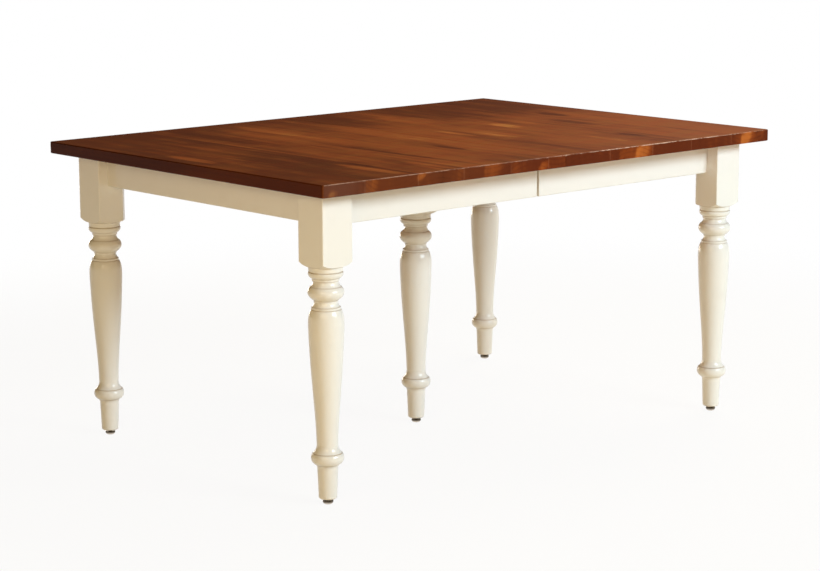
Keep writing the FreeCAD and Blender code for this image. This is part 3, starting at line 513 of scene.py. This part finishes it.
def named(*endings):
    """The frame's nodes whose names end in one of these."""
    return [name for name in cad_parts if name.endswith(endings)]


leg_paint = painted("leg_paint", run=2, grooves=groove_levels)
side_apron_paint = painted("side_apron_paint", run=0)
end_apron_paint = painted("end_apron_paint", run=1)
coat(named("_leg"), leg_paint)
coat(named("_front_apron", "_back_apron"), side_apron_paint)
coat(named("_end_apron"), end_apron_paint)


# Slides: rails, cross board, pads and buttons of hard maple, planed and left bare. The rails run
# along the table and the boards across it, each with its grain lengthways.
maple_stops = ("EASE", (0.15, (0.340, 0.190, 0.080)), (0.5, (0.640, 0.445, 0.245)),
               (0.85, (0.780, 0.590, 0.370)))
coarse_across, coarse_along = 30, 1.6
fine_across, fine_along = 420, 16
wide_across, wide_along = 7, 1.1
growth_turns = (9, 26)
piece_shift = (9, 5, 7)


def planed_wood(name, run, stops, spread):
    """Pale wood, its grain along axis 0, 1 or 2, shifted from piece to piece along the spread."""
    material, start, place = empty_material(name)
    coarse, fine, wide = [coarse_across] * 3, [fine_across] * 3, [wide_across] * 3
    coarse[run], fine[run], wide[run] = coarse_along, fine_along, wide_along
    piece = place.noise(spread, detail=0)
    grain = place.moved(*(piece * shift for shift in piece_shift))
    streaks = grain.noise(coarse, detail=4, roughness=0.6)
    fibres = grain.noise(fine, detail=2, roughness=0.6)
    clouds = grain.noise(wide, detail=3, roughness=0.55)
    turns = streaks * growth_turns[0] + clouds * growth_turns[1]
    growth = turns.math("SINE", turns).smooth(-0.2, 1)
    depth = 0.5 + streaks.swing(0.5) + clouds.swing(0.5) + fibres.swing(0.22) - growth * 0.10
    finish_surface(start, {
        "Base Color": depth.ramp(stops), "Specular IOR Level": 0.4,
        "Roughness": 0.46 + fibres.swing(0.16),
        "Normal": (fibres * 0.7 + growth * 0.3).bump(strength=0.3, depth=0.0003)})
    return material


rail_maple = planed_wood("rail_maple", run=0, stops=maple_stops, spread=(0, 9, 0))
board_maple = planed_wood("board_maple", run=1, stops=maple_stops, spread=(4, 0, 0))
rails = [side + place + "_rail" for side in ("left_", "right_") for place in ("front", "back")]
coat(rails + ["front_centre_rail", "back_centre_rail", "left_rail_pads", "right_rail_pads"],
     rail_maple)
coat(["cross_board", "left_top_buttons", "right_top_buttons"], board_maple)


# Alignment pins: beech dowels, turned and pointed, glued into the left half's seam face. They
# enter holes in the right half and hold the two halves of the top level when the table is closed.
beech_stops = ("EASE", (0.15, (0.330, 0.185, 0.090)), (0.5, (0.560, 0.350, 0.200)),
               (0.85, (0.690, 0.480, 0.300)))
pin_beech = planed_wood("pin_beech", run=0, stops=beech_stops, spread=(0, 7, 0))
coat(["seam_pins"], pin_beech)


# Steel fittings: brackets, the centre leg's plate, sockets, bolts, wing nuts, pins and screws,
# stamped or turned and zinc plated, with a bright dull bloom and darker spots of handling.
zinc_colour = (0.680, 0.690, 0.700, 1)
tarnish_colour = (0.400, 0.385, 0.360, 1)
bloom_cells = (60, 60, 60)
spot_cells = (23, 23, 23)
scratch_cells = (900, 60, 900)

zinc, start, place = empty_material("zinc_plate")
bloom = place.noise(bloom_cells, detail=4, roughness=0.65)
spots = place.noise(spot_cells, detail=3, roughness=0.6).smooth(0.56, 0.80)
scratches = place.noise(scratch_cells, detail=2, roughness=0.6)
finish_surface(start, {
    "Base Color": (spots * 0.45 + bloom.swing(0.25)).mix(zinc_colour, tarnish_colour),
    "Roughness": 0.50 + bloom.swing(0.25) + spots * 0.12, "Metallic": 1,
    "Normal": (scratches * 0.6 + bloom * 0.4).bump(strength=0.2, depth=0.0001)})
coat(named("_corner_bracket", "_foot_sockets", "_foot_socket", "_hanger_bolts", "_wing_nuts",
           "_screws", "_leg_plate", "pinion_pins"), zinc)


# Racks and pinions: moulded black nylon with a fine sparkle of glass fibre and a trace of grease
# worn brighter on the teeth.
nylon_colour = (0.022, 0.022, 0.024, 1)
worn_nylon_colour = (0.060, 0.058, 0.056, 1)
flow_cells = (12, 70, 70)
grit_cells = (1500, 1500, 1500)

nylon, start, place = empty_material("gear_nylon")
flow = place.noise(flow_cells, detail=3, roughness=0.6)
grit = place.noise(grit_cells, detail=1)
worn = flow.smooth(0.45, 0.75) * 0.5 + grit * 0.2
finish_surface(start, {
    "Base Color": worn.mix(nylon_colour, worn_nylon_colour),
    "Roughness": 0.42 + flow.swing(0.20), "Normal": grit.bump(strength=0.25, depth=0.0001)})
coat(named("_pinion", "_rack"), nylon)


# Swing locks: levers, bases and keepers stamped from strip and brass plated, brushed along their
# length and a little dulled where fingers don't reach.
brass_colour = (0.790, 0.560, 0.260, 1)
dull_brass_colour = (0.420, 0.270, 0.115, 1)
brushing_cells = (900, 25, 900)
dulled_cells = (35, 35, 35)

brass, start, place = empty_material("lock_brass")
brushing = place.noise(brushing_cells, detail=2, roughness=0.6)
dulled = place.noise(dulled_cells, detail=3, roughness=0.6)
finish_surface(start, {
    "Base Color": dulled.smooth(0.50, 0.80).mix(brass_colour, dull_brass_colour),
    "Roughness": 0.28 + dulled.swing(0.3), "Metallic": 1,
    "Normal": brushing.bump(strength=0.3, depth=0.0001)})
coat(["front_lock_lever", "back_lock_lever", "lock_bases", "lock_keepers"], brass)


# Levelling glides: domed feet pressed from steel, nickel plated, each on a threaded stem that
# turns in its socket. The face that meets the floor is scuffed, and the upper band is painted
# dark as shade under the leg.
nickel_colour = (0.620, 0.560, 0.480, 1)
stained_and_shaded_nickel = (0.110, 0.085, 0.060, 1)
stain_cells = (180, 180, 180)
scuff_band = (0.0010, 0.0002)
painted_shade_band = (0.0030, 0.0050)

nickel, start, place = empty_material("glide_nickel")
height = place.parts()[2]
stains = place.noise(stain_cells, detail=3, roughness=0.6)
scuffs = height.smooth(*scuff_band)
# Painted shade: above the rim band the glide darkens, standing in for the shade under the leg.
wear_and_painted_shade = scuffs * 0.3 + height.smooth(*painted_shade_band) * 0.9 + stains.swing(0.3)
finish_surface(start, {
    "Base Color": wear_and_painted_shade.at_least(0).at_most(1).mix(nickel_colour, stained_and_shaded_nickel),
    "Roughness": 0.20 + scuffs * 0.5 + stains.swing(0.1), "Metallic": 1,
    "Normal": stains.bump(strength=0.15, depth=0.0001)})
coat(named("_glide"), nickel)
